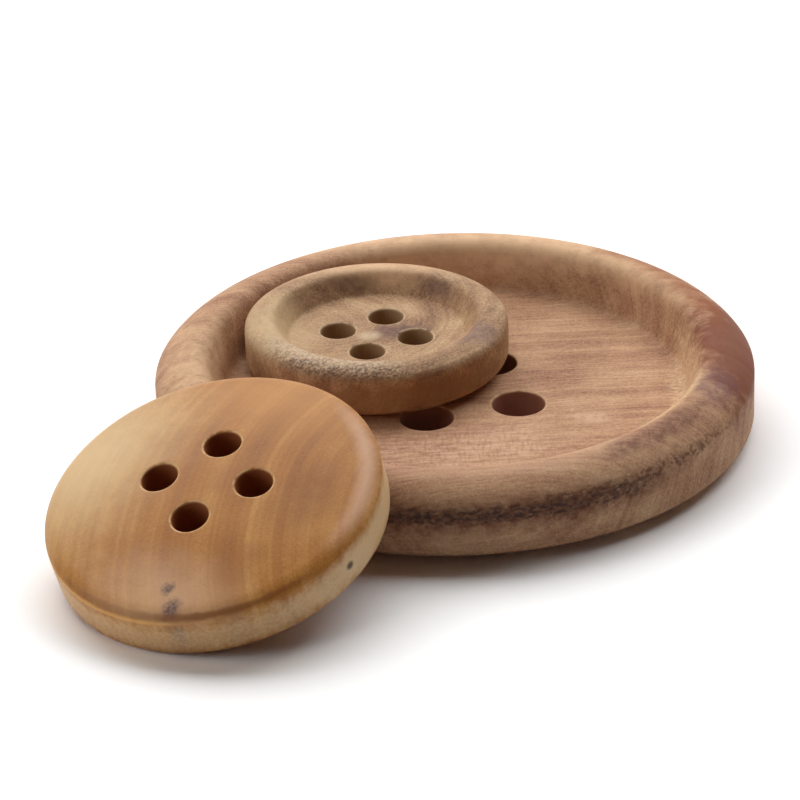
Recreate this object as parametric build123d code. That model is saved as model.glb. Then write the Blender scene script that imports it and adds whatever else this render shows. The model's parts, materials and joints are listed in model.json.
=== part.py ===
from build123d import *
import math
import os

# Three wooden sewing buttons, each turned from one piece of wood and drilled with four holes.
# The large dished button lies on its back, the small dished button lies in its dish, and the
# domed button leans on its rim with its outer edge on the table.
# Millimetres. The origin is the centre of the large button's back, +Z is up, +X is to the
# right and +Y points away from the viewer.

# Large dished button
large_diameter = 51.2
large_side_height = 5.3  # from the back up to the crease under the bead
large_bead_rise = 1.95  # from the crease up to the crest of the rim
large_crest_inset = 3.4  # from the side in to the crest
large_wall_run = 3.05  # from the crest in to the edge of the dish's flat floor
large_floor_thickness = 3.1
large_lip_radius = 1.45  # inner edge of the crest
large_cove_radius = 0.8  # foot of the dish wall
large_bevel_width = 4.0  # bevel round the back
large_bevel_rise = 1.1
large_edge_radius = 0.5  # between the bevel and the side
large_crease_radius = 0.5
large_hole_diameter = 4.5
large_hole_circle = 11.5
large_hole_turn = -30.0  # degrees from +X to the first hole
large_hole_offset = 0.36  # by which the ring of holes is drilled off centre, along +X

# Small dished button
small_diameter = 22.86
small_side_height = 4.1
small_bead_rise = 0.6
small_crest_inset = 2.1
small_wall_run = 1.93
small_floor_thickness = 2.8
small_lip_radius = 0.8
small_cove_radius = 0.4
small_bevel_width = 1.4
small_bevel_rise = 0.9
small_edge_radius = 1.0
small_crease_radius = 0.8
small_hole_diameter = 3.0
small_hole_circle = 6.9
small_hole_turn = -14.0

# Domed button
domed_diameter = 27.6
domed_thickness = 5.8  # at the middle
dome_radius = 58.0
shoulder_radius = 2.2  # where the dome rolls over to the side
shoulder_drop = 0.47  # of the side's top edge below the dome's own curve
domed_back_radius = 0.6
domed_crease_radius = 0.15
domed_hole_diameter = 3.0
domed_hole_circle = 8.15
domed_hole_turn = 17.2  # degrees from the downhill line to the first hole

# Holes of every button
hole_count = 4
hole_easing = 0.25  # rounding of each hole's mouths
cut_overrun = 1.0  # by which a drill passes the faces

# How the three lie together
contact_gap = 0.03  # air between two pieces that rest on each other
lean_direction = -127.0  # degrees from +X, from the large button's axis to the domed button
lean_seat_offset = 8.93  # from the domed button's centre in to its seat on the rim
slide_direction = 139.0  # degrees from +X, towards which the small button lies in the dish


def bead_radius(crest_inset, bead_rise):
    """Radius of the arc that is level at the crest and comes down to the crease."""
    return (crest_inset**2 + bead_rise**2) / (2 * bead_rise)


def dish_wall_angle(wall_run, top, floor_thickness, lip_radius, cove_radius):
    """Degrees from level of the straight wall that is tangent to the lip and to the cove."""
    rise = top - lip_radius - floor_thickness - cove_radius
    turn = math.asin((lip_radius + cove_radius) / math.hypot(wall_run, rise))
    return math.degrees(math.atan2(rise, wall_run) + turn)


def rounded(outline, corner, radius):
    """The half section with the corner nearest to a point rounded."""
    return fillet(outline.vertices().sort_by_distance(corner)[0], radius)


def dished_outline(diameter, side_height, bead_rise, crest_inset, wall_run, floor_thickness,
                   lip_radius, cove_radius, bevel_width, bevel_rise, edge_radius, crease_radius):
    """Half section with a bevelled back, a bead over a crease, a steep dish wall and a flat floor."""
    side = diameter / 2
    crest = side - crest_inset
    top = side_height + bead_rise
    floor = crest - wall_run
    bead = bead_radius(crest_inset, bead_rise)
    bead_turn = math.degrees(math.asin(crest_inset / bead))
    wall = dish_wall_angle(wall_run, top, floor_thickness, lip_radius, cove_radius)
    lip_arc = CenterArc((crest, top - lip_radius), lip_radius, 90, wall)
    cove_arc = CenterArc((floor, floor_thickness + cove_radius), cove_radius, 270, wall)
    back_corner = (side, bevel_rise)
    crease_corner = (side, side_height)
    outline = make_face([
        Polyline((0, floor_thickness), (0, 0), (side - bevel_width, 0), back_corner, crease_corner),
        CenterArc((crest, top - bead), bead, 90 - bead_turn, bead_turn),
        lip_arc,
        Line(lip_arc @ 1, cove_arc @ 1),
        cove_arc,
        Line((floor, floor_thickness), (0, floor_thickness)),
    ])
    outline = rounded(outline, crease_corner, crease_radius)
    return rounded(outline, back_corner, edge_radius)


def domed_outline():
    """Half section with an eased back, a short side, a rolled shoulder and a shallow dome."""
    side = domed_diameter / 2
    dome_centre = domed_thickness - dome_radius
    side_top = dome_centre + math.sqrt(dome_radius**2 - side**2) - shoulder_drop
    edge_reach = math.hypot(side, side_top - dome_centre)
    edge_angle = math.atan2(side, side_top - dome_centre)
    inner_reach = dome_radius - shoulder_radius
    along = (edge_reach**2 + inner_reach**2 - shoulder_radius**2) / (2 * inner_reach)
    meeting = edge_angle - math.acos(along / edge_reach)
    shoulder = (inner_reach * math.sin(meeting), dome_centre + inner_reach * math.cos(meeting))
    dome_turn = math.degrees(meeting)
    edge_turn = math.degrees(math.asin((side - shoulder[0]) / shoulder_radius))
    back_corner = (side, 0)
    crease_corner = (side, side_top)
    outline = make_face([
        Polyline((0, domed_thickness), (0, 0), back_corner, crease_corner),
        CenterArc(shoulder, shoulder_radius, 90 - edge_turn, edge_turn - dome_turn),
        CenterArc((0, dome_centre), dome_radius, 90 - dome_turn, dome_turn),
    ])
    outline = rounded(outline, crease_corner, domed_crease_radius)
    return rounded(outline, back_corner, domed_back_radius)


def drilled(outline, thickness, hole_diameter, hole_circle, hole_turn, hole_offset=0):
    """The button that a half section turns into, with its ring of holes, their mouths eased."""
    blank = revolve(Plane.XZ * outline, Axis.Z)
    drill = Pos(Z=thickness / 2) * Cylinder(hole_diameter / 2, thickness + 2 * cut_overrun)
    ring = PolarLocations(hole_circle / 2, hole_count, start_angle=hole_turn)
    button = blank - [Pos(X=hole_offset) * place * drill for place in ring]
    bored = button.faces().filter_by(GeomType.CYLINDER)
    walls = bored.filter_by(lambda face: face.radius < hole_circle / 2)
    return fillet(walls.edges().filter_by(lambda edge: edge.is_closed), hole_easing)


def large_button():
    """The large button, on its back about the origin."""
    outline = dished_outline(
        large_diameter, large_side_height, large_bead_rise, large_crest_inset, large_wall_run,
        large_floor_thickness, large_lip_radius, large_cove_radius, large_bevel_width, large_bevel_rise,
        large_edge_radius, large_crease_radius)
    thickness = large_side_height + large_bead_rise
    return drilled(outline, thickness, large_hole_diameter, large_hole_circle, large_hole_turn,
                   large_hole_offset)


def small_button():
    """The small button, on its back about the origin."""
    outline = dished_outline(
        small_diameter, small_side_height, small_bead_rise, small_crest_inset, small_wall_run,
        small_floor_thickness, small_lip_radius, small_cove_radius, small_bevel_width, small_bevel_rise,
        small_edge_radius, small_crease_radius)
    thickness = small_side_height + small_bead_rise
    return drilled(outline, thickness, small_hole_diameter, small_hole_circle, small_hole_turn)


def domed_button():
    """The domed button, on its back about the origin, its downhill line along +X."""
    return drilled(domed_outline(), domed_thickness, domed_hole_diameter, domed_hole_circle, domed_hole_turn)


def place_in_dish():
    """Where the small button lies: on the dish floor, slid out until its edge meets the wall."""
    top = large_side_height + large_bead_rise
    floor = large_diameter / 2 - large_crest_inset - large_wall_run
    wall = math.radians(dish_wall_angle(
        large_wall_run, top, large_floor_thickness, large_lip_radius, large_cove_radius))
    foot = floor + large_cove_radius * math.sin(wall)
    foot_rise = large_cove_radius * (1 - math.cos(wall))
    bevel_length = math.hypot(small_bevel_width, small_bevel_rise)
    edge_share = (bevel_length - small_bevel_rise) / small_bevel_width
    edge_rise = contact_gap + small_bevel_rise + small_edge_radius * edge_share
    touch = (edge_rise - foot_rise) * math.cos(wall) - (small_edge_radius + contact_gap)
    distance = foot + touch / math.sin(wall) - (small_diameter / 2 - small_edge_radius)
    height = large_floor_thickness + contact_gap
    return Rot(Z=slide_direction) * Pos(distance, 0, height) * Rot(Z=-slide_direction)


def place_on_rim():
    """Where the domed button leans: its back on the bead, its outer edge down on the table."""
    crest = large_diameter / 2 - large_crest_inset
    top = large_side_height + large_bead_rise
    bead = bead_radius(large_crest_inset, large_bead_rise)
    lift = bead + contact_gap
    upright = lift + domed_back_radius
    span = lean_seat_offset + domed_diameter / 2 - domed_back_radius
    fall = domed_back_radius + bead - top
    lean = math.acos(fall / math.hypot(upright, span)) - math.atan2(span, upright)
    distance = crest + lift * math.sin(lean) + lean_seat_offset * math.cos(lean)
    height = top - bead + lift * math.cos(lean) - lean_seat_offset * math.sin(lean)
    return Rot(Z=lean_direction) * Pos(distance, 0, height) * Rot(Y=math.degrees(lean))


os.makedirs("parts", exist_ok=True)
export_step(large_button(), "parts/large_button.step")
export_step(place_in_dish() * small_button(), "parts/small_button.step")
export_step(place_on_rim() * domed_button(), "parts/domed_button.step")
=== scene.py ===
"""Looks of a set of three wooden sewing buttons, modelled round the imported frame.

The large dished button lies on its back, the small dished one lies in its dish, and the domed one
leans on its rim. Meshes are turned in millimetres in each button's own frame, its back at height
zero, and are then carried to their place in metres.
"""

import json
import logging
import math
from dataclasses import dataclass
from enum import Enum

import bmesh
import bpy
from mathutils import Matrix, Vector


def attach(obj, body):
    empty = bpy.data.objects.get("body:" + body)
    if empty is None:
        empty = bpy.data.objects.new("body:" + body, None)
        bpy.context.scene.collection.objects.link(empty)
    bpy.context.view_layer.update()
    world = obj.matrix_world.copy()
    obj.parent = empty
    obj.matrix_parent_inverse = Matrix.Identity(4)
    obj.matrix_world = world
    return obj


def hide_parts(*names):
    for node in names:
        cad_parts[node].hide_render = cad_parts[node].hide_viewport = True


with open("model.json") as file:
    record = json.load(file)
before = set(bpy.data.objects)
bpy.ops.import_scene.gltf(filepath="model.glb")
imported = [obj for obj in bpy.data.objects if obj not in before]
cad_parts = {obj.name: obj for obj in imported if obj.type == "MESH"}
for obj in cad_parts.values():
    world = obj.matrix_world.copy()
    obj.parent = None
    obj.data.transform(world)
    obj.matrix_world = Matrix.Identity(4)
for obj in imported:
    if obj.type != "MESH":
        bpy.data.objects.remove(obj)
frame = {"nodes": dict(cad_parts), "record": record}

LOG = logging.getLogger("buttons")
MM = 0.001
BODY = "root"
HALF = 0.5
WHOLE_RING = 180.0  # degrees to each side of a heading
LEVEL_TILT = 1e-4  # sideways part of an axis that still counts as upright

# Finer layers of a noise, and how strong they are
FEW_LAYERS = 2.0
SOME_LAYERS = 3.0
MANY_LAYERS = 4.0
LAYER_STRENGTH = 0.6

# The curve of display colours
FULL_COLOUR = 255
TOE_END = 0.04045
TOE_SLOPE = 12.92
CURVE_LIFT = 0.055
CURVE_POWER = 2.4

Rgb = tuple[int, int, int]
Pair = tuple[float, float]
Triple = tuple[float, float, float]
Socket = bpy.types.NodeSocket
Value = Socket | float | Triple | tuple[float, float, float, float]


def linear(colour: Rgb) -> tuple[float, float, float, float]:
    """Turns a display colour into the linear colour that shaders take.

    Args:
        colour: Red, green and blue from 0 to 255.

    Returns:
        Linear red, green and blue, with an alpha of one.
    """
    flat = []
    for part in colour:
        share = part / FULL_COLOUR
        curved = ((share + CURVE_LIFT) / (1 + CURVE_LIFT)) ** CURVE_POWER
        flat.append(share / TOE_SLOPE if share <= TOE_END else curved)
    return flat[0], flat[1], flat[2], 1.0


class Sum(Enum):
    """What a shader does with two values."""

    ADD = "ADD"
    SUBTRACT = "SUBTRACT"
    MULTIPLY = "MULTIPLY"
    DIVIDE = "DIVIDE"
    MAXIMUM = "MAXIMUM"


class Graph:
    """Adds shader nodes to one material and links them."""

    MIX_SHARE = 0
    MIX_UNDER = 6
    MIX_OVER = 7
    MIX_RESULT = 2

    def __init__(self, tree: bpy.types.NodeTree) -> None:
        """Empties the tree it will fill."""
        self.tree = tree
        self.tree.nodes.clear()

    def add(self, kind: str, inputs: dict[str | int, Value] | None = None,
            **settings: object) -> bpy.types.Node:
        """Adds one node.

        Args:
            kind: The node's type name, without its ShaderNode prefix.
            inputs: Sockets to link or numbers to set, by input name or number.
            settings: Properties of the node.

        Returns:
            The new node.
        """
        node = self.tree.nodes.new("ShaderNode" + kind)
        for name, value in settings.items():
            setattr(node, name, value)
        for key, value in (inputs or {}).items():
            self.feed(node.inputs[key], value)
        return node

    def feed(self, socket: Socket, value: Value) -> None:
        """Links a socket to an input, or sets the input to a number or colour."""
        if isinstance(value, Socket):
            self.tree.links.new(value, socket)
        else:
            socket.default_value = value

    def math(self, operation: Sum, first: Value, second: Value) -> Socket:
        """Returns the result of one sum on two values."""
        return self.add("Math", {0: first, 1: second}, operation=operation.value).outputs[0]

    def fade(self, value: Value, start: float, end: float) -> Socket:
        """Returns a smooth rise from zero at start to one at end."""
        node = self.add("MapRange", {"Value": value, "From Min": start, "From Max": end},
                        interpolation_type="SMOOTHSTEP")
        return node.outputs[0]

    def mix(self, share: Value, under: Value, over: Value) -> Socket:
        """Returns two colours blended by a share."""
        inputs = {self.MIX_SHARE: share, self.MIX_UNDER: under, self.MIX_OVER: over}
        node = self.add("Mix", inputs, data_type="RGBA", clamp_factor=True)
        return node.outputs[self.MIX_RESULT]

    def noise(self, point: Socket, scale: Triple, detail: float = SOME_LAYERS,
              rough: float = LAYER_STRENGTH) -> Socket:
        """Returns cloudy noise from zero to one.

        Args:
            point: Where it is read, in millimetres.
            scale: Waves for each millimetre along X, Y and Z.
            detail: Finer layers.
            rough: Strength of the finer layers.

        Returns:
            The noise value.
        """
        spread = self.add("VectorMath", {0: point, 1: scale}, operation="MULTIPLY")
        inputs = {"Vector": spread.outputs[0], "Scale": 1.0, "Detail": detail, "Roughness": rough}
        return self.add("TexNoise", inputs).outputs["Fac"]

    def ramp(self, share: Socket, stops: list[tuple[float, Rgb]]) -> Socket:
        """Returns a colour looked up along a row of colour stops."""
        node = self.add("ValToRGB", {"Fac": share})
        band = node.color_ramp
        while len(band.elements) < len(stops):
            band.elements.new(1.0)
        for element, (place, colour) in zip(band.elements, stops):
            element.position = place
            element.color = linear(colour)
        return node.outputs["Color"]

    def placed(self, turn: Matrix, centre: Vector) -> Socket:
        """Returns Object coordinates in millimetres in a turned and moved frame.

        Args:
            turn: Rotation from the row frame to the wanted frame.
            centre: The wanted frame's origin in the row frame, in millimetres.

        Returns:
            The coordinates.
        """
        where = self.add("TexCoord").outputs["Object"]
        node = self.add("Mapping", {"Vector": where})
        node.inputs["Location"].default_value = -(turn @ centre)
        node.inputs["Rotation"].default_value = turn.to_euler()
        node.inputs["Scale"].default_value = (1 / MM,) * 3
        return node.outputs["Vector"]


@dataclass(frozen=True)
class Seat:
    """Where one button lies: its back's centre, its axis and its own X, its radius and its holes."""

    centre: Vector
    turn: Matrix
    radius: float
    hole_radius: float
    hole_circle: float
    hole_middle: Pair

    @classmethod
    def of(cls, node: str, mount: str) -> "Seat":
        """Reads a button's place from its node and from its ring of holes.

        Args:
            node: The CAD node.
            mount: The mount of its ring of holes.

        Returns:
            The seat, in millimetres.
        """
        ring = next(m for m in frame["record"]["mounts"] if m["name"] == mount)
        axis = Vector(ring["axis"]).normalized()
        ring_middle = Vector(ring["pos_m"]) / MM
        downhill = Vector((axis.x, axis.y, 0.0))
        ahead = downhill if downhill.length > LEVEL_TILT else Vector((1.0, 0.0, 0.0))
        ahead = (ahead - axis * ahead.dot(axis)).normalized()
        turn = Matrix((ahead, axis.cross(ahead), axis)).transposed()
        points = [turn.transposed() @ (v.co / MM - ring_middle) for v in frame["nodes"][node].data.vertices]
        low, high = (Vector(pick(p[k] for p in points) for k in range(3)) for pick in (min, max))
        middle = Vector(((low.x + high.x) / 2, (low.y + high.y) / 2, low.z))
        radius = max((p - middle).xy.length for p in points)
        sizes = ring["dims"]
        return cls(ring_middle + turn @ middle, turn, radius, sizes["hole_r_mm"], sizes["pcd_mm"],
                   (-middle.x, -middle.y))

    def matrix(self) -> Matrix:
        """Returns the move from the button's own millimetres to the row frame's metres."""
        return Matrix.Scale(MM, 4) @ Matrix.Translation(self.centre) @ self.turn.to_4x4()


@dataclass(frozen=True, kw_only=True)
class Mark:
    """A mark on the wood, in the button's own millimetres: a stain, a pale or worn place, painted light or
    painted shade.
    """

    colour: Rgb
    strength: float
    ragged: float = 0.5
    broken: float = 0.0
    grain: Triple = (0.6, 0.6, 0.6)
    soft: float = 0.75

    GAP_FINENESS = 2.3
    GAP_EDGES = (0.38, 0.62)

    def away(self, graph: Graph, point: Socket) -> Socket:
        """Returns zero in the middle of the mark and one at its edge."""
        raise NotImplementedError

    def mask(self, graph: Graph, point: Socket) -> Socket:
        """Returns how strongly the mark shows at a point.

        Args:
            graph: The material's nodes.
            point: Coordinates in the button's own frame.

        Returns:
            The share of the mark, from zero to its strength.
        """
        tear = self.swing(graph, graph.noise(point, self.grain, MANY_LAYERS), 2 * self.ragged)
        body = graph.fade(graph.math(Sum.ADD, self.away(graph, point), tear), 1.0, 1.0 - self.soft)
        if self.broken:
            finer = tuple(self.GAP_FINENESS * waves for waves in self.grain)
            gaps = graph.fade(graph.noise(point, finer), *self.GAP_EDGES)
            kept = graph.math(Sum.ADD, graph.math(Sum.MULTIPLY, gaps, self.broken), 1.0 - self.broken)
            body = graph.math(Sum.MULTIPLY, body, kept)
        return graph.math(Sum.MULTIPLY, body, self.strength)

    @staticmethod
    def swing(graph: Graph, value: Socket, share: float) -> Socket:
        """Returns a value from zero to one swung about zero by a share."""
        return graph.math(Sum.MULTIPLY, graph.math(Sum.SUBTRACT, value, HALF), share)

    def laid(self, graph: Graph, own: Socket, colour: Socket) -> Socket:
        """Returns the wood's colour with the mark on it."""
        return graph.mix(self.mask(graph, own), colour, linear(self.colour))


@dataclass(frozen=True, kw_only=True)
class Patch(Mark):
    """A mark of the shape of an ellipsoid."""

    centre: Triple
    reach: Triple

    def away(self, graph: Graph, point: Socket) -> Socket:
        """Returns the distance from the centre as a share of the reach."""
        node = graph.add("Mapping", {"Vector": point}, vector_type="TEXTURE")
        node.inputs["Location"].default_value = self.centre
        node.inputs["Scale"].default_value = self.reach
        return graph.add("VectorMath", {0: node.outputs["Vector"]}, operation="LENGTH").outputs["Value"]


@dataclass(frozen=True, kw_only=True)
class Fleck(Patch):
    """A patch where wood rays show as rows of pale dashes, crossed by fine dark ticks."""

    row_waves: Triple = (0.5, 2.4, 1.0)
    row_edges: Pair = (0.42, 0.62)
    tick_waves: Triple = (4.2, 0.8, 1.0)
    tick_edges: Pair = (0.46, 0.64)
    tick_colour: Rgb = (134, 82, 66)
    tick_strength: float = 0.45

    def laid(self, graph: Graph, own: Socket, colour: Socket) -> Socket:
        """Returns the wood's colour with the rows and ticks on it."""
        share = self.mask(graph, own)
        rows = graph.fade(graph.noise(own, self.row_waves), *self.row_edges)
        ticks = graph.fade(graph.noise(own, self.tick_waves), *self.tick_edges)
        colour = graph.mix(graph.math(Sum.MULTIPLY, share, rows), colour, linear(self.colour))
        ticked = graph.math(Sum.MULTIPLY, graph.math(Sum.MULTIPLY, share, ticks), self.tick_strength)
        return graph.mix(ticked, colour, linear(self.tick_colour))


@dataclass(frozen=True, kw_only=True)
class Band(Mark):
    """A mark along part of a ring round the button's axis."""

    radius: float
    height: float
    breadth: float
    tallness: float
    heading: float = 0.0
    half_turn: float = WHOLE_RING

    def away(self, graph: Graph, point: Socket) -> Socket:
        """Returns the distance from the ring's middle as a share of the mark's reach."""
        parts = graph.add("SeparateXYZ", {0: point}).outputs
        flat = graph.add("CombineXYZ", {"X": parts["X"], "Y": parts["Y"], "Z": 0.0}).outputs[0]
        out = graph.add("VectorMath", {0: flat}, operation="LENGTH").outputs["Value"]
        across = graph.math(Sum.DIVIDE, graph.math(Sum.SUBTRACT, out, self.radius), self.breadth)
        upward = graph.math(Sum.DIVIDE, graph.math(Sum.SUBTRACT, parts["Z"], self.height), self.tallness)
        around = self.around(graph, flat)
        offset = graph.add("CombineXYZ", {"X": across, "Y": upward, "Z": around}).outputs[0]
        return graph.add("VectorMath", {0: offset}, operation="LENGTH").outputs["Value"]

    def around(self, graph: Graph, flat: Socket) -> Value:
        """Returns zero along the mark's heading and one at its ends, or zero on a whole ring."""
        if self.half_turn >= WHOLE_RING:
            return 0.0
        angle = math.radians(self.heading)
        unit = graph.add("VectorMath", {0: flat}, operation="NORMALIZE").outputs["Vector"]
        facing = graph.add("VectorMath", {0: unit, 1: (math.cos(angle), math.sin(angle), 0.0)},
                           operation="DOT_PRODUCT").outputs["Value"]
        end = 1 - math.cos(math.radians(self.half_turn))
        return graph.math(Sum.DIVIDE, graph.math(Sum.SUBTRACT, 1.0, facing), end)


@dataclass(frozen=True, kw_only=True)
class Grain:
    """How the fibres and growth layers of a piece of wood lie. Lengths are millimetres."""

    turn: float
    dip: float
    pith: Pair
    spacing: float
    wander: float
    stray_waves: float = 0.045

    def tilt(self) -> Matrix:
        """Returns the turn from the button's own frame to one with X along the fibres."""
        along = Matrix.Rotation(-math.radians(self.turn), 3, "Z")
        return Matrix.Rotation(math.radians(self.dip), 3, "Y") @ along

    def bent(self, graph: Graph, grain: Socket) -> Socket:
        """Returns grain coordinates that stray as growth does."""
        waver = graph.add("TexNoise", {"Vector": grain, "Scale": self.stray_waves, "Detail": FEW_LAYERS})
        shift = graph.add("VectorMath", {0: waver.outputs["Color"], 1: (HALF,) * 3}, operation="SUBTRACT")
        swing = graph.add("VectorMath", {0: shift.outputs[0], "Scale": 2 * self.wander}, operation="SCALE")
        return graph.add("VectorMath", {0: grain, 1: swing.outputs[0]}, operation="ADD").outputs[0]

    def layer(self, graph: Graph, bent: Socket) -> Socket:
        """Returns the count of growth layers from the pith."""
        heart = graph.add("VectorMath", {0: bent, 1: (0.0, *self.pith)}, operation="SUBTRACT").outputs[0]
        disc = graph.add("VectorMath", {0: heart, 1: (0.0, 1.0, 1.0)}, operation="MULTIPLY").outputs[0]
        depth = graph.add("VectorMath", {0: disc}, operation="LENGTH").outputs["Value"]
        return graph.math(Sum.DIVIDE, depth, self.spacing)


@dataclass(frozen=True, kw_only=True)
class Wood:
    """A turned wood: its colours, its grain and the marks on it. Lengths are millimetres."""

    name: str
    slot: str
    deep: Rgb
    body: Rgb
    pale: Rgb
    bore: Rgb
    lip: Rgb
    grain: Grain
    rings: float
    lines: float
    fibres: float
    clouds: float
    speckle: float
    pores: float
    cloud_waves: Triple
    roughness: float
    gloss: float
    marks: tuple[Mark, ...]
    tone_stops: Triple = (0.1, 0.5, 0.9)
    ring_waves: float = 1.0
    line_waves: float = 5.3
    fibre_waves: Triple = (0.15, 3.6, 3.6)
    speckle_waves: float = 5.0
    cloud_strength: float = 0.55
    pore_waves: Triple = (0.6, 6.5, 6.5)
    pore_strength: float = 0.5
    pore_edges: Pair = (0.6, 0.72)
    tear_waves: Triple = (1.7, 1.7, 1.7)
    tear_edges: Pair = (0.3, 0.6)
    lip_gain: float = 3.4
    bore_edges: Pair = (0.6, 1.0)
    roughness_swing: float = 0.25
    bump: float = 0.3
    bump_depth: float = 0.06

    def dress(self, piece: bpy.types.Object, seat: Seat) -> None:
        """Makes the wood and gives it to a button.

        Args:
            piece: The button's object.
            seat: Where the button lies, for its grain to lie with it.
        """
        material = bpy.data.materials.new(self.name)
        material.use_nodes = True
        graph = Graph(material.node_tree)
        to_own = seat.turn.transposed()
        own = graph.placed(to_own, seat.centre)
        grain = graph.placed(self.grain.tilt() @ to_own, seat.centre)
        tone, relief, pores = self.figure(graph, own, grain)
        colour = graph.ramp(tone, list(zip(self.tone_stops, (self.deep, self.body, self.pale))))
        colour = graph.mix(pores, colour, linear(self.deep))
        for mark in self.marks:
            colour = mark.laid(graph, own, colour)
        colour = self.bored(graph, own, colour)
        shader = graph.add("BsdfPrincipled", {"Base Color": colour})
        rough = graph.math(Sum.ADD, Mark.swing(graph, relief, self.roughness_swing), self.roughness)
        graph.feed(shader.inputs["Roughness"], rough)
        shader.inputs["Specular IOR Level"].default_value = self.gloss
        height = graph.math(Sum.SUBTRACT, relief, pores)
        depth = self.bump_depth * MM
        bump = graph.add("Bump", {"Height": height, "Strength": self.bump, "Distance": depth})
        graph.feed(shader.inputs["Normal"], bump.outputs["Normal"])
        out = graph.add("OutputMaterial")
        graph.feed(out.inputs["Surface"], shader.outputs["BSDF"])
        piece.data.materials.clear()
        piece.data.materials.append(material)

    def figure(self, graph: Graph, own: Socket, grain: Socket) -> tuple[Socket, Socket, Socket]:
        """Lays out growth layers, fibres, clouds, speckle and pores.

        Args:
            graph: The material's nodes.
            own: Coordinates in the button's own frame.
            grain: Coordinates with X along the fibres.

        Returns:
            The tone from dark to pale, the relief and the pores.
        """
        bent = self.grain.bent(graph, grain)
        layer = self.grain.layer(graph, bent)
        spread = {"W": layer, "Detail": FEW_LAYERS, "Roughness": LAYER_STRENGTH}
        rings, lines = (
            graph.add("TexNoise", {**spread, "Scale": waves}, noise_dimensions="1D").outputs["Fac"]
            for waves in (self.ring_waves, self.line_waves))
        fibres = graph.noise(bent, self.fibre_waves)
        speckle = graph.noise(own, (self.speckle_waves,) * 3, FEW_LAYERS)
        clouds = graph.noise(own, self.cloud_waves, MANY_LAYERS, self.cloud_strength)
        shares = ((rings, self.rings), (lines, self.lines), (fibres, self.fibres), (speckle, self.speckle),
                  (clouds, self.clouds))
        tone: Value = HALF
        for value, share in shares:
            tone = graph.math(Sum.ADD, tone, Mark.swing(graph, value, 2 * share))
        relief = graph.math(Sum.MULTIPLY, graph.math(Sum.ADD, fibres, speckle), HALF)
        dashes = graph.noise(grain, self.pore_waves, FEW_LAYERS, self.pore_strength)
        pores = graph.math(Sum.MULTIPLY, graph.fade(dashes, *self.pore_edges), self.pores)
        return tone, relief, pores

    def bored(self, graph: Graph, own: Socket, colour: Socket) -> Socket:
        """Returns the colour with pale, slightly torn hole mouths and dark hole walls."""
        depth = graph.add("Attribute", attribute_name="bore").outputs["Fac"]
        tear = graph.fade(graph.noise(own, self.tear_waves), *self.tear_edges)
        edge = graph.math(Sum.MULTIPLY, depth, graph.math(Sum.SUBTRACT, 1.0, depth))
        ring = graph.math(Sum.MULTIPLY, edge, self.lip_gain)
        colour = graph.mix(graph.math(Sum.MULTIPLY, ring, tear), colour, linear(self.lip))
        return graph.mix(graph.fade(depth, *self.bore_edges), colour, linear(self.bore))


class Section:
    """Draws a half section, one operator for each stretch, and turns it into a skin."""

    ARC_STEP = 0.25
    FEWEST_STEPS = 4

    def __init__(self, mesh: bmesh.types.BMesh, centre: Pair, radius: float, height: float) -> None:
        """Puts the pen down beside an upright axis.

        Args:
            mesh: The mesh that takes the section.
            centre: The axis, in the button's own X and Y.
            radius: The pen's distance from the axis.
            height: The pen's height over the back.
        """
        self.mesh = mesh
        self.centre = centre
        self.tip = mesh.verts.new((centre[0] + radius, centre[1], height))
        self.verts = [self.tip]

    def line(self, radius: float, height: float, steps: int = 1) -> None:
        """Draws a straight stretch to a radius and height, in equal steps."""
        goal = Vector((self.centre[0] + radius, self.centre[1], height))
        move = (goal - self.tip.co) / steps
        for _ in range(steps):
            made = bmesh.ops.extrude_vert_indiv(self.mesh, verts=[self.tip])
            self.tip = made["verts"][0]
            bmesh.ops.translate(self.mesh, verts=[self.tip], vec=move)
            self.verts.append(self.tip)

    def arc(self, radius: float, height: float, degrees: float) -> None:
        """Draws a round stretch about a point of the section, anticlockwise where degrees is positive."""
        middle = Vector((self.centre[0] + radius, self.centre[1], height))
        length = (self.tip.co - middle).length * abs(math.radians(degrees))
        steps = max(self.FEWEST_STEPS, math.ceil(length / self.ARC_STEP))
        for _ in range(steps):
            made = bmesh.ops.spin(self.mesh, geom=[self.tip], cent=middle, axis=(0.0, -1.0, 0.0),
                                  angle=math.radians(degrees / steps), steps=1)
            self.tip = next(g for g in made["geom_last"] if isinstance(g, bmesh.types.BMVert))
            self.verts.append(self.tip)

    def turn(self, steps: int) -> list[bmesh.types.BMVert]:
        """Turns the section once round its axis.

        Args:
            steps: Facets round the axis.

        Returns:
            The vertices of the turned skin.
        """
        before = set(self.mesh.verts) - set(self.verts)
        edges = {edge for vert in self.verts for edge in vert.link_edges}
        bmesh.ops.spin(self.mesh, geom=[*self.verts, *edges], cent=(*self.centre, 0.0),
                       axis=(0.0, 0.0, 1.0), angle=2 * math.pi, steps=steps, use_merge=True)
        return [vert for vert in self.mesh.verts if vert not in before]


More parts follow.
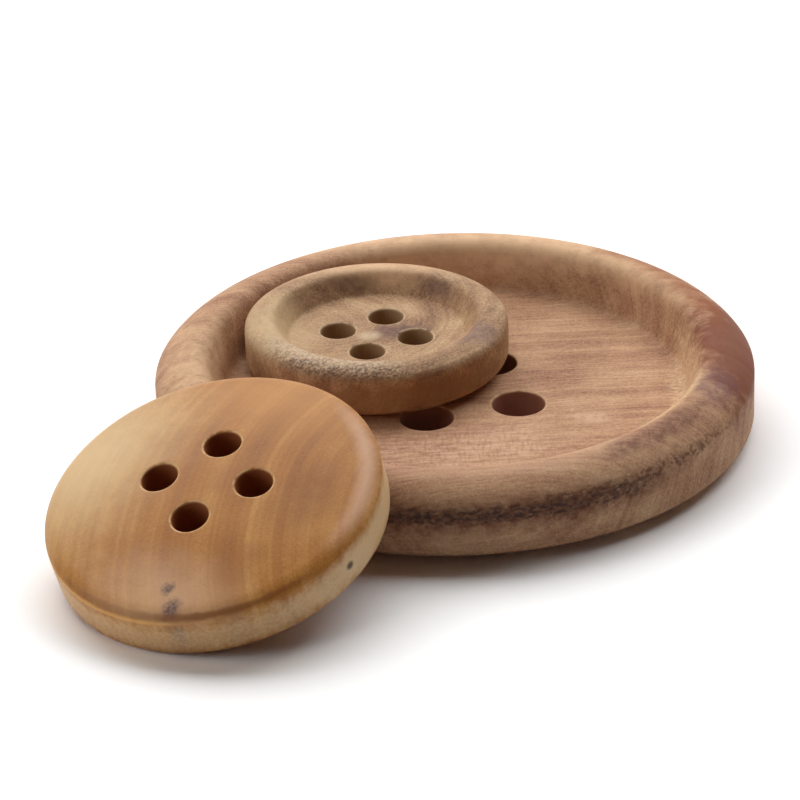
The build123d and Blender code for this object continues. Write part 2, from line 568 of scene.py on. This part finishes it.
@dataclass
class Button:
    """A turned button with a ring of four holes. Lengths are millimetres in its own frame."""

    node: str
    mount: str
    wood: Wood
    facets: int
    hole_turn: float
    hole_easing: float = 0.25
    hole_count: int = 4
    hole_facets: int = 72
    collar: float = 0.12
    web: float = 0.6
    weld: float = 1e-4

    QUARTER = 90.0
    WALL_STEPS = 6

    def __post_init__(self) -> None:
        """Reads the button's place from the frame."""
        self.seat = Seat.of(self.node, self.mount)

    @property
    def inner(self) -> float:
        """Radius of the ring that closes the zone of the holes."""
        seat = self.seat
        reach = math.hypot(*seat.hole_middle) + seat.hole_circle / 2 + seat.hole_radius
        return reach + self.hole_easing + self.collar + self.web

    def outline(self, mesh: bmesh.types.BMesh) -> Section:
        """Draws the half section from the zone of the holes over the rim to the back."""
        raise NotImplementedError

    def face_height(self, radius: float) -> float:
        """Returns the face's height over the back in the zone of the holes."""
        raise NotImplementedError

    def build(self) -> bpy.types.Object:
        """Turns, drills, closes and places the button.

        Returns:
            The button's object, riding on the body.
        """
        mesh = bmesh.new()
        bore = mesh.verts.layers.float.new("bore")
        self.drill(mesh, bore)
        self.outline(mesh).turn(self.facets)
        self.close(mesh)
        bmesh.ops.remove_doubles(mesh, verts=mesh.verts[:], dist=self.weld)
        bmesh.ops.recalc_face_normals(mesh, faces=mesh.faces[:])
        for face in mesh.faces:
            face.smooth = True
        bmesh.ops.transform(mesh, matrix=self.seat.matrix(), verts=mesh.verts[:])
        data = bpy.data.meshes.new(self.node + "_turned")
        mesh.to_mesh(data)
        mesh.free()
        piece = bpy.data.objects.new(self.node + "_turned", data)
        bpy.context.scene.collection.objects.link(piece)
        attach(piece, BODY)
        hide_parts(self.node)
        return piece

    def drill(self, mesh: bmesh.types.BMesh, bore: bmesh.types.BMLayerItem) -> None:
        """Turns one hole's wall with both its eased mouths, and repeats it round the axis.

        Args:
            mesh: The button's mesh, still empty.
            bore: The vertex layer that says how far into a hole a point lies.
        """
        seat, easing = self.seat, self.hole_easing
        angle = math.radians(self.hole_turn)
        middle = seat.hole_middle
        centre = (middle[0] + math.cos(angle) * seat.hole_circle / 2,
                  middle[1] + math.sin(angle) * seat.hole_circle / 2)
        top = self.face_height(0.0)
        mouth = seat.hole_radius + easing
        section = Section(mesh, centre, mouth + self.collar, top)
        section.line(mouth, top)
        section.arc(mouth, top - easing, self.QUARTER)
        section.line(seat.hole_radius, easing, self.WALL_STEPS)
        section.arc(mouth, easing, self.QUARTER)
        section.line(mouth + self.collar, 0.0)
        for vert in section.turn(self.hole_facets):
            out = math.hypot(vert.co.x - centre[0], vert.co.y - centre[1])
            vert[bore] = max(0.0, min(1.0, (mouth - out) / easing))
            if vert.co.z > top / 2:
                vert.co.z += self.face_height(math.hypot(vert.co.x, vert.co.y)) - top
        copies = self.hole_count - 1
        bmesh.ops.spin(mesh, geom=[*mesh.verts, *mesh.edges, *mesh.faces], cent=(*middle, 0.0),
                       axis=(0.0, 0.0, 1.0), angle=2 * math.pi * copies / self.hole_count, steps=copies,
                       use_duplicate=True)

    def close(self, mesh: bmesh.types.BMesh) -> None:
        """Fills the face and the back between the holes and the turned skin."""
        rims = [edge for edge in mesh.edges if edge.is_boundary]
        for back in (True, False):
            loop = [e for e in rims if (e.verts[0].co.z < self.hole_easing / 2) == back]
            way = (0.0, 0.0, -1.0 if back else 1.0)
            bmesh.ops.triangle_fill(mesh, edges=loop, use_beauty=True, normal=way)


@dataclass
class DishedButton(Button):
    """A button with a bevelled back, a bead over a crease, a steep dish wall and a flat floor."""

    side_height: float = 5.3
    bead_rise: float = 1.95
    crest_inset: float = 3.4
    wall_run: float = 3.05
    floor_thickness: float = 3.1
    lip_radius: float = 1.45
    cove_radius: float = 0.8
    bevel_width: float = 4.0
    bevel_rise: float = 1.1
    edge_radius: float = 0.5
    crease_radius: float = 0.5

    FLOOR_STEPS = 12
    SIDE_STEPS = 12
    BACK_STEPS = 6

    def face_height(self, radius: float) -> float:
        """Returns the height of the dish floor."""
        return self.floor_thickness

    def outline(self, mesh: bmesh.types.BMesh) -> Section:
        """Draws the half section from the dish floor over the bead to the bevelled back.

        Args:
            mesh: The mesh that takes the section.

        Returns:
            The section, ready to be turned.
        """
        side = self.seat.radius
        crest = side - self.crest_inset
        top = self.side_height + self.bead_rise
        floor = crest - self.wall_run
        rise = top - self.lip_radius - self.floor_thickness - self.cove_radius
        lean = math.asin((self.lip_radius + self.cove_radius) / math.hypot(self.wall_run, rise))
        wall = math.atan2(rise, self.wall_run) + lean
        lip_foot = (crest - self.lip_radius * math.sin(wall), top - self.lip_radius * (1 - math.cos(wall)))
        bead = (self.crest_inset**2 + self.bead_rise**2) / (2 * self.bead_rise)
        section = Section(mesh, (0.0, 0.0), self.inner, self.floor_thickness)
        section.line(floor - self.collar, self.floor_thickness, self.FLOOR_STEPS)
        section.line(floor, self.floor_thickness)
        section.arc(floor, self.floor_thickness + self.cove_radius, math.degrees(wall))
        section.line(*lip_foot, self.WALL_STEPS)
        section.arc(crest, top - self.lip_radius, -math.degrees(wall))
        crease_out = side - self.crease_radius
        crease_up = top - bead + math.sqrt((bead - self.crease_radius) ** 2 - (crease_out - crest) ** 2)
        crease_angle = math.degrees(math.atan2(crease_up - (top - bead), crease_out - crest))
        section.arc(crest, top - bead, crease_angle - self.QUARTER)
        section.arc(crease_out, crease_up, -crease_angle)
        slope = math.atan2(self.bevel_rise, self.bevel_width)
        edge_up = self.bevel_rise + self.edge_radius * (1 - math.sin(slope)) / math.cos(slope)
        section.line(side, edge_up, self.SIDE_STEPS)
        section.arc(side - self.edge_radius, edge_up, math.degrees(slope) - self.QUARTER)
        section.line(side - self.bevel_width, 0.0, self.BACK_STEPS)
        section.line(side - self.bevel_width - self.collar, 0.0)
        section.line(self.inner, 0.0, self.BACK_STEPS)
        return section


@dataclass
class DomedButton(Button):
    """A button with an eased back, a short side, a rolled shoulder and a shallow dome."""

    thickness: float = 5.8
    dome_radius: float = 58.0
    shoulder_radius: float = 2.2
    shoulder_drop: float = 0.47
    back_radius: float = 0.6
    crease_radius: float = 0.15
    cell: float = 1.1
    cell_weld: float = 1e-3

    SIDE_STEPS = 8
    BACK_STEPS = 4

    def face_height(self, radius: float) -> float:
        """Returns the height of the dome."""
        return self.thickness - self.dome_radius + math.sqrt(self.dome_radius**2 - radius**2)

    def outline(self, mesh: bmesh.types.BMesh) -> Section:
        """Draws the half section from the zone of the holes over the dome to the back.

        Args:
            mesh: The mesh that takes the section.

        Returns:
            The section, ready to be turned.
        """
        side = self.seat.radius
        base = self.thickness - self.dome_radius
        side_top = self.face_height(side) - self.shoulder_drop
        reach = math.hypot(side, side_top - base)
        inner_reach = self.dome_radius - self.shoulder_radius
        along = (reach**2 + inner_reach**2 - self.shoulder_radius**2) / (2 * inner_reach)
        meeting = math.atan2(side, side_top - base) - math.acos(along / reach)
        shoulder_out = inner_reach * math.sin(meeting)
        shoulder_up = base + inner_reach * math.cos(meeting)
        section = Section(mesh, (0.0, 0.0), self.inner, self.face_height(self.inner))
        start = math.asin(self.inner / self.dome_radius)
        section.arc(0.0, base, math.degrees(start - meeting))
        crease_out = side - self.crease_radius
        inside = self.shoulder_radius - self.crease_radius
        crease_up = shoulder_up + math.sqrt(inside**2 - (crease_out - shoulder_out) ** 2)
        crease_angle = math.degrees(math.atan2(crease_up - shoulder_up, crease_out - shoulder_out))
        section.arc(shoulder_out, shoulder_up, crease_angle - self.QUARTER + math.degrees(meeting))
        section.arc(crease_out, crease_up, -crease_angle)
        section.line(side, self.back_radius, self.SIDE_STEPS)
        section.arc(side - self.back_radius, self.back_radius, -self.QUARTER)
        section.line(side - self.back_radius - self.collar, 0.0)
        section.line(self.inner, 0.0, self.BACK_STEPS)
        return section

    def close(self, mesh: bmesh.types.BMesh) -> None:
        """Fills the face and the back, and cuts the face into cells that follow the dome."""
        before = set(mesh.faces)
        super().close(mesh)
        fill = [f for f in mesh.faces if f not in before and f.calc_center_median().z > self.thickness / 2]
        count = math.floor(self.inner / self.cell)
        for across in (Vector((1.0, 0.0, 0.0)), Vector((0.0, 1.0, 0.0))):
            for number in range(-count, count + 1):
                edges = {edge for face in fill for edge in face.edges}
                verts = {vert for face in fill for vert in face.verts}
                made = bmesh.ops.bisect_plane(mesh, geom=[*fill, *edges, *verts], dist=self.cell_weld,
                                              plane_co=across * number * self.cell, plane_no=across)
                fill = list({g for g in made["geom"] if isinstance(g, bmesh.types.BMFace)})
        for vert in {vert for face in fill for vert in face.verts}:
            vert.co.z = self.face_height(math.hypot(vert.co.x, vert.co.y))


@dataclass(frozen=True)
class Lamp:
    """A broad soft lamp, by how much it lights a level surface. Lengths are metres, angles degrees."""

    name: str
    heading: float
    height: float
    share: float
    size: Pair
    distance: float = 1.5

    def hang(self) -> None:
        """Hangs the lamp, facing the origin."""
        heading, height = math.radians(self.heading), math.radians(self.height)
        outward = math.cos(height)
        way = Vector((math.cos(heading) * outward, math.sin(heading) * outward, math.sin(height)))
        lamp = bpy.data.lights.new(self.name, "AREA")
        lamp.shape = "RECTANGLE"
        lamp.size, lamp.size_y = self.size
        level = self.share / math.sin(height)
        lamp.energy = level * math.pi**2 * (self.distance**2 + lamp.size * lamp.size_y / 4)
        holder = bpy.data.objects.new(self.name, lamp)
        holder.location = way * self.distance
        holder.rotation_euler = way.to_track_quat("Z", "Y").to_euler()
        bpy.context.scene.collection.objects.link(holder)


@dataclass(frozen=True)
class Studio:
    """The floor, the lamps, the world and the camera.

    Lengths are metres and the camera's angles radians. Its sensor is in millimetres, and its focus is in
    pixels of the photograph.
    """

    floor_reach: float = 3.0
    floor_gap: float = 0.00002
    floor_white: float = 1.29
    floor_bounce: float = 0.95
    lamps: tuple[Lamp, ...] = (
        Lamp(name="back_lamp", heading=84.0, height=53.0, share=0.91, size=(2.6, 1.4)),
        Lamp(name="left_lamp", heading=198.0, height=25.0, share=0.12, size=(1.0, 1.0)),
    )
    sky_level: float = 0.02
    view_distance: float = 0.3556
    view_height: float = 0.4739
    view_roll: float = -0.0321
    view_focus: float = 4081.2
    view_pixels: float = 800.0
    view_target: Triple = (-0.00474, 0.00448, 0.0)
    view_near: float = 0.01
    sensor: float = 36.0

    def build(self) -> None:
        """Sets up the floor, the light and the camera."""
        bpy.context.scene.view_settings.view_transform = "Standard"
        self.lay_floor()
        for lamp in self.lamps:
            lamp.hang()
        self.light_sky()
        self.aim_camera()

    def seen(self, graph: Graph) -> Socket:
        """Returns one on rays that show the background and zero on rays that light the object."""
        rays = graph.add("LightPath").outputs
        both = graph.math(Sum.MAXIMUM, rays["Is Camera Ray"], rays["Is Glossy Ray"])
        return graph.math(Sum.MAXIMUM, both, rays["Is Transmission Ray"])

    def lay_floor(self) -> None:
        """Lays a plain white floor that keeps shadows."""
        mesh = bmesh.new()
        bmesh.ops.create_grid(mesh, x_segments=1, y_segments=1, size=self.floor_reach)
        bmesh.ops.translate(mesh, verts=mesh.verts[:], vec=(0.0, 0.0, -self.floor_gap))
        data = bpy.data.meshes.new("floor")
        mesh.to_mesh(data)
        mesh.free()
        floor = bpy.data.objects.new("floor", data)
        bpy.context.scene.collection.objects.link(floor)
        material = bpy.data.materials.new("white_sweep")
        material.use_nodes = True
        graph = Graph(material.node_tree)
        dim, white = ((level,) * 3 + (1.0,) for level in (self.floor_bounce, self.floor_white))
        matt = graph.add("BsdfDiffuse", {"Color": graph.mix(self.seen(graph), dim, white)})
        out = graph.add("OutputMaterial")
        graph.feed(out.inputs["Surface"], matt.outputs[0])
        data.materials.append(material)

    def light_sky(self) -> None:
        """Sets a plain white world, dimmer as a light than as a background."""
        world = bpy.data.worlds.new("white_room")
        world.use_nodes = True
        graph = Graph(world.node_tree)
        seen = self.seen(graph)
        level = graph.math(Sum.ADD, graph.math(Sum.MULTIPLY, seen, 1.0 - self.sky_level), self.sky_level)
        white = graph.add("Background", {"Color": (1.0, 1.0, 1.0, 1.0), "Strength": level})
        out = graph.add("OutputWorld")
        graph.feed(out.inputs["Surface"], white.outputs[0])
        bpy.context.scene.world = world

    def aim_camera(self) -> None:
        """Puts the camera where the photograph was taken from."""
        back = Vector((0.0, -math.cos(self.view_height), math.sin(self.view_height)))
        right = Vector((1.0, 0.0, 0.0))
        up = back.cross(right)
        roll = Matrix.Rotation(self.view_roll, 3, back)
        camera = bpy.data.cameras.new("camera")
        camera.sensor_width = self.sensor
        camera.lens = self.sensor * self.view_focus / self.view_pixels
        camera.clip_start = self.view_near
        holder = bpy.data.objects.new("camera", camera)
        place = Matrix.Translation(Vector(self.view_target) + back * self.view_distance)
        holder.matrix_world = place @ (roll @ Matrix((right, up, back)).transposed()).to_4x4()
        bpy.context.scene.collection.objects.link(holder)
        bpy.context.scene.camera = holder


REDDISH = Wood(
    name="reddish_wood", slot="reddish_wood",
    deep=(110, 60, 42), body=(190, 145, 112), pale=(228, 190, 150), bore=(160, 110, 90), lip=(224, 184, 144),
    grain=Grain(turn=4.0, dip=5.0, pith=(38.0, -14.0), spacing=1.3, wander=1.2),
    rings=0.15, lines=0.13, fibres=0.18, clouds=0.34, speckle=0.28, pores=0.35,
    cloud_waves=(0.14, 0.26, 0.26), roughness=0.6, gloss=0.12,
    marks=(
        # Red stain on the right of the rim, deepened by painted shade on the rim's right side
        Patch(colour=(116, 54, 32), strength=0.85, ragged=0.7, soft=0.6, centre=(24.4, -1.0, 6.6),
              reach=(5.2, 17.0, 3.6)),
        # Orange-brown bead at the back right
        Band(colour=(150, 84, 44), strength=0.7, broken=0.35, radius=23.0, height=7.0, breadth=2.0,
             tallness=1.8, heading=32.0, half_turn=30.0),
        # Purple place on the front right of the rim
        Patch(colour=(112, 78, 84), strength=0.55, broken=0.5, centre=(21.8, -8.5, 7.0),
              reach=(3.6, 4.6, 1.8)),
        # Painted light: the left of the rim paler, as if lit from the left
        Patch(colour=(232, 194, 152), strength=0.6, broken=0.5, centre=(-21.0, -2.0, 6.6),
              reach=(6.0, 14.0, 3.0)),
        # Painted light: the back of the rim and of the dish wall paler, in place of light from the front
        Patch(colour=(242, 200, 160), strength=0.85, broken=0.35, grain=(0.35, 0.35, 0.35),
              centre=(0.0, 21.0, 6.0), reach=(24.0, 5.0, 4.0)),
        # Painted highlight along the crest at the back
        Band(colour=(240, 198, 156), strength=0.75, broken=0.35, grain=(0.35, 0.35, 0.35), radius=21.4,
             height=6.9, breadth=2.6, tallness=2.0, heading=66.0, half_turn=52.0),
        # Torn pale wood on the right of the dish wall
        Patch(colour=(240, 204, 162), strength=0.7, broken=0.7, soft=0.45, grain=(1.2, 2.4, 1.2),
              centre=(19.5, -2.5, 5.0), reach=(2.0, 10.0, 3.4)),
        # Pale spot on the dish floor
        Patch(colour=(222, 182, 150), strength=0.7, broken=0.6, centre=(11.3, -5.9, 3.1),
              reach=(2.8, 1.4, 0.6)),
        # Pale bead at the front
        Band(colour=(206, 160, 130), strength=0.5, broken=0.6, radius=22.2, height=7.2, breadth=1.8,
             tallness=1.4, heading=-88.0, half_turn=44.0),
        # Pale torn fringe along the crest at the front right, partly a painted highlight, and beside it a
        # dark red streak of painted shade on the crest's outer face
        Band(colour=(234, 198, 150), strength=0.8, broken=0.6, grain=(2.4, 2.4, 2.4), radius=21.4,
             height=7.0, breadth=0.7, tallness=0.8, heading=-33.0, half_turn=20.0),
        Band(colour=(98, 54, 42), strength=0.7, broken=0.5, radius=23.2, height=7.0, breadth=1.5,
             tallness=1.2, heading=-46.0, half_turn=19.0),
        # Painted shade: the side darker brown at the front, where it faces away from the light
        Band(colour=(106, 58, 38), strength=0.8, broken=0.45, radius=25.5, height=4.4, breadth=2.0,
             tallness=2.0, heading=-84.0, half_turn=44.0),
        # Black streak along the crease, and its thinner end to the right
        Band(colour=(54, 35, 32), strength=0.9, broken=0.65, ragged=1.0, grain=(0.9, 0.9, 1.5), radius=25.5,
             height=4.7, breadth=1.6, tallness=1.05, heading=-82.0, half_turn=36.0),
        Band(colour=(78, 44, 34), strength=0.75, broken=0.9, ragged=0.9, grain=(0.8, 0.8, 1.4), radius=25.3,
             height=5.3, breadth=1.3, tallness=0.8, heading=-54.0, half_turn=30.0),
        # Wood rays on the front of the dish floor
        Fleck(colour=(226, 182, 154), strength=0.65, centre=(0.5, -10.8, 3.1), reach=(13.0, 6.2, 1.0)),
    ),
)
GREYISH = Wood(
    name="grey_brown_wood", slot="grey_brown_wood",
    deep=(96, 66, 48), body=(180, 142, 108), pale=(222, 192, 150), bore=(170, 138, 104), lip=(216, 188, 152),
    grain=Grain(turn=20.0, dip=70.0, pith=(4.0, 4.0), spacing=1.6, wander=1.6),
    rings=0.22, lines=0.09, fibres=0.18, clouds=0.4, speckle=0.34, pores=0.4,
    cloud_waves=(0.3, 0.3, 0.3), roughness=0.6, gloss=0.12,
    marks=(
        # Painted light: the left of the rim paler, as if lit from the left
        Patch(colour=(224, 194, 150), strength=0.7, broken=0.2, centre=(-8.2, -0.5, 4.0),
              reach=(5.2, 7.8, 2.4)),
        # Painted light: the back wall of the dish paler, in place of light from the front; and a dark smudge
        # on it
        Patch(colour=(234, 192, 152), strength=0.8, broken=0.2, centre=(0.0, 9.2, 4.2),
              reach=(9.0, 3.0, 1.8)),
        Patch(colour=(92, 64, 48), strength=0.7, broken=0.3, centre=(-2.2, 8.0, 3.7), reach=(3.6, 1.5, 1.4)),
        # Purple-brown between the holes, on the back wall and on the front right of the rim
        Patch(colour=(98, 68, 66), strength=0.85, broken=0.2, centre=(1.9, 0.2, 2.8), reach=(3.4, 2.4, 0.8)),
        Patch(colour=(110, 82, 76), strength=0.55, centre=(5.8, 6.4, 3.9), reach=(2.8, 2.4, 1.2)),
        Patch(colour=(122, 96, 96), strength=0.65, broken=0.4, centre=(8.3, -4.2, 4.6),
              reach=(3.4, 3.0, 1.0)),
        # Pale spot between the holes
        Patch(colour=(218, 190, 156), strength=0.8, broken=0.3, centre=(-0.7, -0.4, 2.8),
              reach=(1.5, 1.3, 0.5)),
        # Worn whitish front of the rim, and dark specks along it
        Band(colour=(222, 200, 172), strength=0.75, broken=0.9, grain=(1.4, 1.4, 1.4), radius=9.8,
             height=4.6, breadth=1.5, tallness=1.0, heading=-118.0, half_turn=46.0),
        Band(colour=(76, 52, 42), strength=0.8, broken=0.95, grain=(1.6, 1.6, 1.9), radius=10.6,
             height=4.2, breadth=1.2, tallness=0.9, heading=-106.0, half_turn=50.0),
        # Browner side at the front, darkened as painted shade
        Band(colour=(152, 110, 76), strength=0.7, radius=11.43, height=2.0, breadth=1.0, tallness=2.1,
             heading=-85.0, half_turn=85.0),
    ),
)
HONEY = Wood(
    name="honey_wood", slot="honey_wood",
    deep=(122, 66, 26), body=(177, 116, 53), pale=(220, 166, 96), bore=(150, 90, 54), lip=(228, 186, 132),
    grain=Grain(turn=0.0, dip=90.0, pith=(33.0, 11.0), spacing=2.2, wander=0.8),
    rings=0.2, lines=0.09, fibres=0.1, clouds=0.26, speckle=0.14, pores=0.0,
    cloud_waves=(0.14, 0.14, 0.14), roughness=0.42, gloss=0.17,
    marks=(
        # Painted light on the left and lower part of the face, and a golden upper part
        Patch(colour=(240, 207, 156), strength=0.75, ragged=0.15, soft=1.0, centre=(1.0, -12.0, 4.9),
              reach=(16.0, 12.0, 4.0)),
        Patch(colour=(230, 188, 150), strength=0.6, ragged=0.2, soft=1.0, centre=(11.0, 4.0, 4.6),
              reach=(6.0, 11.0, 2.4)),
        Patch(colour=(206, 146, 78), strength=0.5, ragged=0.2, soft=1.0, centre=(-11.0, -1.0, 4.8),
              reach=(8.0, 11.0, 2.4)),
        # Two brown blotches
        Patch(colour=(150, 90, 44), strength=0.4, centre=(-1.1, 1.8, 5.7), reach=(3.0, 2.0, 0.8)),
        Patch(colour=(152, 94, 50), strength=0.4, centre=(6.4, 7.6, 5.0), reach=(3.4, 2.2, 1.0)),
        # Painted shade: the right of the face darker and browner, away from the light
        Patch(colour=(138, 82, 38), strength=0.6, ragged=0.3, soft=1.0, centre=(-2.0, 8.4, 5.0),
              reach=(6.0, 4.0, 1.4)),
        # Blue-grey specks on the face, the shoulder and the side
        Patch(colour=(64, 56, 72), strength=0.8, broken=0.4, grain=(2.2, 2.2, 2.2), centre=(10.4, 3.6, 4.7),
              reach=(0.9, 0.7, 0.5)),
        Patch(colour=(64, 56, 72), strength=0.8, broken=0.4, grain=(2.2, 2.2, 2.2), centre=(11.8, 4.9, 4.3),
              reach=(1.4, 1.0, 0.7)),
        Patch(colour=(72, 60, 64), strength=0.8, broken=0.4, grain=(2.2, 2.2, 2.2), centre=(12.4, 5.6, 2.4),
              reach=(1.2, 1.0, 1.4)),
        # Painted light: the side paler all round, in place of light bounced up from the floor
        Band(colour=(232, 198, 154), strength=0.65, broken=0.3, grain=(1.6, 1.6, 1.6), radius=13.8,
             height=1.8, breadth=0.7, tallness=2.0),
        # Dark crease, and a painted highlight along the edge under it
        Band(colour=(122, 68, 28), strength=0.6, radius=13.45, height=3.95, breadth=0.45, tallness=0.4,
             heading=44.0, half_turn=34.0),
        Band(colour=(128, 74, 34), strength=0.4, radius=13.45, height=3.95, breadth=0.5, tallness=0.45,
             heading=15.0, half_turn=55.0),
        Band(colour=(240, 184, 104), strength=0.6, radius=13.75, height=3.6, breadth=0.25, tallness=0.25,
             heading=-10.0, half_turn=42.0),
        # Painted light: the side paler still on the right; and a dark dot on the side
        Band(colour=(240, 206, 158), strength=0.6, radius=13.8, height=1.8, breadth=0.7, tallness=2.0,
             heading=115.0, half_turn=60.0),
        Patch(colour=(62, 40, 34), strength=0.9, ragged=0.3, centre=(0.8, 13.8, 2.0), reach=(0.55, 0.5, 0.5)),
        # Painted sheen on the shoulder
        Band(colour=(226, 182, 152), strength=0.6, ragged=0.2, soft=1.0, radius=12.8, height=4.3,
             breadth=1.2, tallness=1.2, heading=122.0, half_turn=46.0),
    ),
)


def main() -> None:
    """Builds, dresses and reports the three buttons, then sets up the studio."""
    logging.basicConfig(level=logging.INFO, format="%(message)s")
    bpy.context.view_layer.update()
    buttons = [
        DishedButton("large_button", "large_sewing_holes", REDDISH, facets=320, hole_turn=-30.0),
        DishedButton("small_button", "small_sewing_holes", GREYISH, facets=224, hole_turn=-14.0,
                     side_height=4.1, bead_rise=0.6, crest_inset=2.1, wall_run=1.93, floor_thickness=2.8,
                     lip_radius=0.8, cove_radius=0.4, bevel_width=1.4, bevel_rise=0.9, edge_radius=1.0,
                     crease_radius=0.8),
        DomedButton("domed_button", "domed_sewing_holes", HONEY, facets=256, hole_turn=17.2),
    ]
    for button in buttons:
        piece = button.build()
        button.wood.dress(piece, button.seat)
        LOG.info("%s: %d faces in %s", piece.name, len(piece.data.polygons), button.wood.name)
    Studio().build()


if __name__ == "__main__":
    main()
